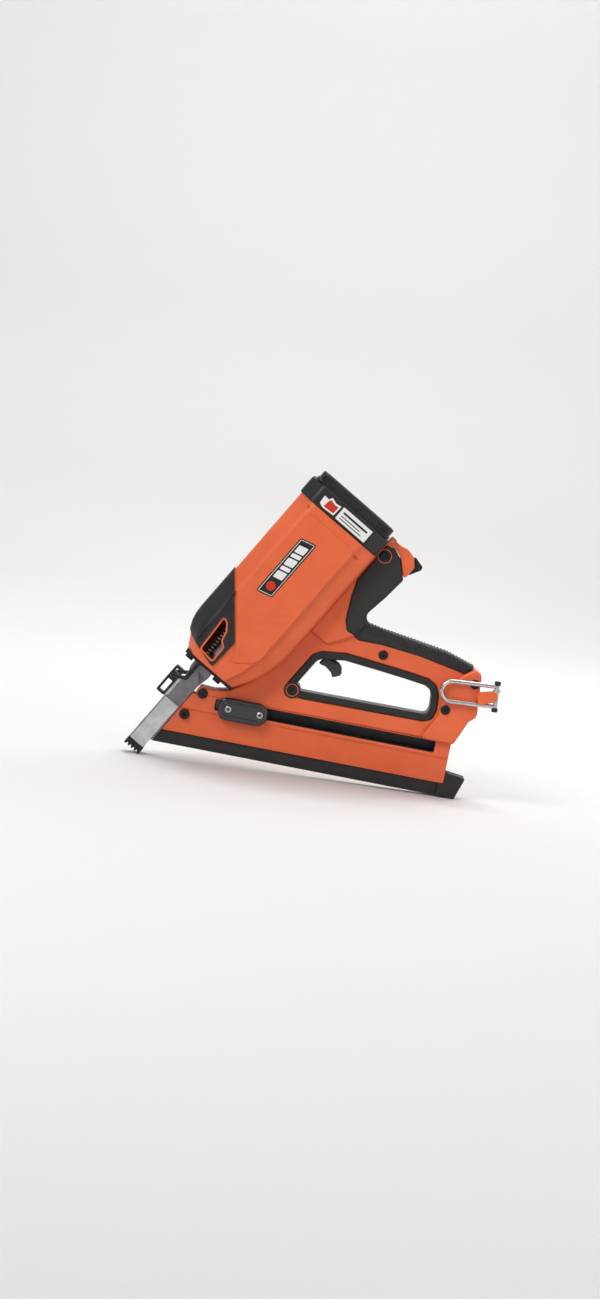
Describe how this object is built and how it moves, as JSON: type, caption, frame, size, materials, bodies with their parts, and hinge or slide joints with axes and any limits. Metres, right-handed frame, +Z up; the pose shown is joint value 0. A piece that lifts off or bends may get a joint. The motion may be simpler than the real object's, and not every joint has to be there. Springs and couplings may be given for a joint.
{
  "type": "cordless nailer",
  "caption": "Cordless gas framing nailer with an angled strip magazine, closed grip opening, sprung nose probe and folding rafter hook.",
  "frame": {"origin": "centre of the bounding box in plan, on the surface the nose tip and the magazine's rear rest on", "axes": "+X towards the magazine's rear, +Y towards the tool's right side, +Z up; the tool stands on its nose tip and the rear of its magazine, so the drive axis leans"},
  "size_m": [0.397, 0.104, 0.3333],
  "materials": {
    "orange_plastic": "satin, fine moulded grain",
    "black_plastic": "satin, fine moulded grain",
    "gloss_black": "polished",
    "grip_rubber": "matt overmould",
    "soft_rubber": "matt",
    "cast_grey": "fine cast skin",
    "black_steel": "black oxide",
    "bright_steel": "drawn and polished",
    "cast_aluminium": "machined casting",
    "spring_steel": "oiled spring wire",
    "filter_foam": "open foam",
    "cell_can": "lacquered can",
    "board_green": "solder mask",
    "contact_brass": "stamped"
  },
  "bodies": {
    "tool_body": {"motor_housing": "orange_plastic", "vent_shroud": "black_plastic", "cap_body": "black_plastic", "cap_frame": "black_plastic", "filter_cover": "black_plastic", "air_filter": "filter_foam", "cap_screws": "bright_steel", "fan_motor": "bright_steel", "motor_mount": "soft_rubber", "cylinder_head": "cast_aluminium", "head_seal": "soft_rubber", "spark_plug": "bright_steel", "cylinder": "cast_aluminium", "bumper": "soft_rubber", "lower_plate": "black_steel", "plate_bolts": "black_steel", "nosepiece": "cast_grey", "probe_springs": "spring_steel", "handle_left": "orange_plastic", "handle_right": "orange_plastic", "grip_overmould": "grip_rubber", "opening_rim": "black_plastic", "handle_screws": "black_steel", "nose_screws": "black_steel", "trigger_switch": "black_plastic", "fuel_cell": "cell_can", "metering_valve": "black_plastic", "control_board": "board_green", "door_pin": "bright_steel", "battery_contacts": "contact_brass", "magazine_left": "orange_plastic", "magazine_right": "orange_plastic", "wear_strip": "black_plastic", "magazine_end_cap": "black_plastic", "hook_spring": "bright_steel"},
    "linkage": {"wire_form": "black_steel", "combustion_chamber": "cast_aluminium", "depth_adjuster": "black_plastic"},
    "nose_probe": {"probe": "bright_steel", "probe_tip": "black_steel"},
    "piston_group": {"piston": "cast_aluminium", "piston_rings": "spring_steel", "driver_blade": "bright_steel"},
    "fan_rotor": {"fan": "cast_aluminium"},
    "trigger_piece": {"trigger": "gloss_black"},
    "follower_group": {"follower": "gloss_black", "follower_screws": "bright_steel", "follower_spring": "spring_steel"},
    "fuel_cover": {"fuel_door": "orange_plastic", "fuel_door_latch": "black_plastic"},
    "battery_pack": {"battery": "black_plastic"},
    "battery_button": {"battery_latch": "black_plastic"},
    "hook": {"rafter_hook": "bright_steel", "hook_caps": "black_plastic"}
  },
  "joints": [
    {"name": "probe_slide", "type": "slide", "parent": "tool_body", "child": "linkage", "axis": [0.5416, 0, 0.8407], "range_m": [0, 0.018], "stiffness_N_per_m": 1500, "springref_m": -0.03, "deforming": ["probe_springs"]},
    {"name": "depth_slide", "type": "slide", "parent": "linkage", "child": "nose_probe", "axis": [0.5416, 0, 0.8407], "range_m": [-0.005, 0.005]},
    {"name": "piston_stroke", "type": "slide", "parent": "tool_body", "child": "piston_group", "axis": [-0.5416, 0, -0.8407], "range_m": [0, 0.0885]},
    {"name": "fan_spin", "type": "hinge", "parent": "tool_body", "child": "fan_rotor", "pos_m": [-0.02222, 0, 0.25331], "axis": [0.5416, 0, 0.8407], "continuous": true},
    {"name": "trigger_pull", "type": "slide", "parent": "tool_body", "child": "trigger_piece", "axis": [0.5416, 0, 0.8407], "range_m": [0, 0.006], "stiffness_N_per_m": 600, "springref_m": -0.005},
    {"name": "follower_slide", "type": "slide", "parent": "tool_body", "child": "follower_group", "axis": [0.9988, 0, -0.0487], "range_m": [0, 0.163], "stiffness_N_per_m": 20, "springref_m": -0.4},
    {"name": "fuel_door_hinge", "type": "hinge", "parent": "tool_body", "child": "fuel_cover", "pos_m": [0.05894, 0, 0.26942], "axis": [0, -1, 0], "range_deg": [0, 75]},
    {"name": "battery_slide", "type": "slide", "parent": "tool_body", "child": "battery_pack", "axis": [0.8407, 0, -0.5416], "range_m": [0, 0.035]},
    {"name": "battery_button_press", "type": "slide", "parent": "tool_body", "child": "battery_button", "axis": [0, -1, 0], "range_m": [0, 0.0025], "stiffness_N_per_m": 400, "springref_m": -0.004},
    {"name": "hook_swing", "type": "hinge", "parent": "tool_body", "child": "hook", "pos_m": [0.19384, -0.0306, 0.11876], "axis": [-0.0211, 0, 0.9998], "range_deg": [0, 170]}
  ]
}
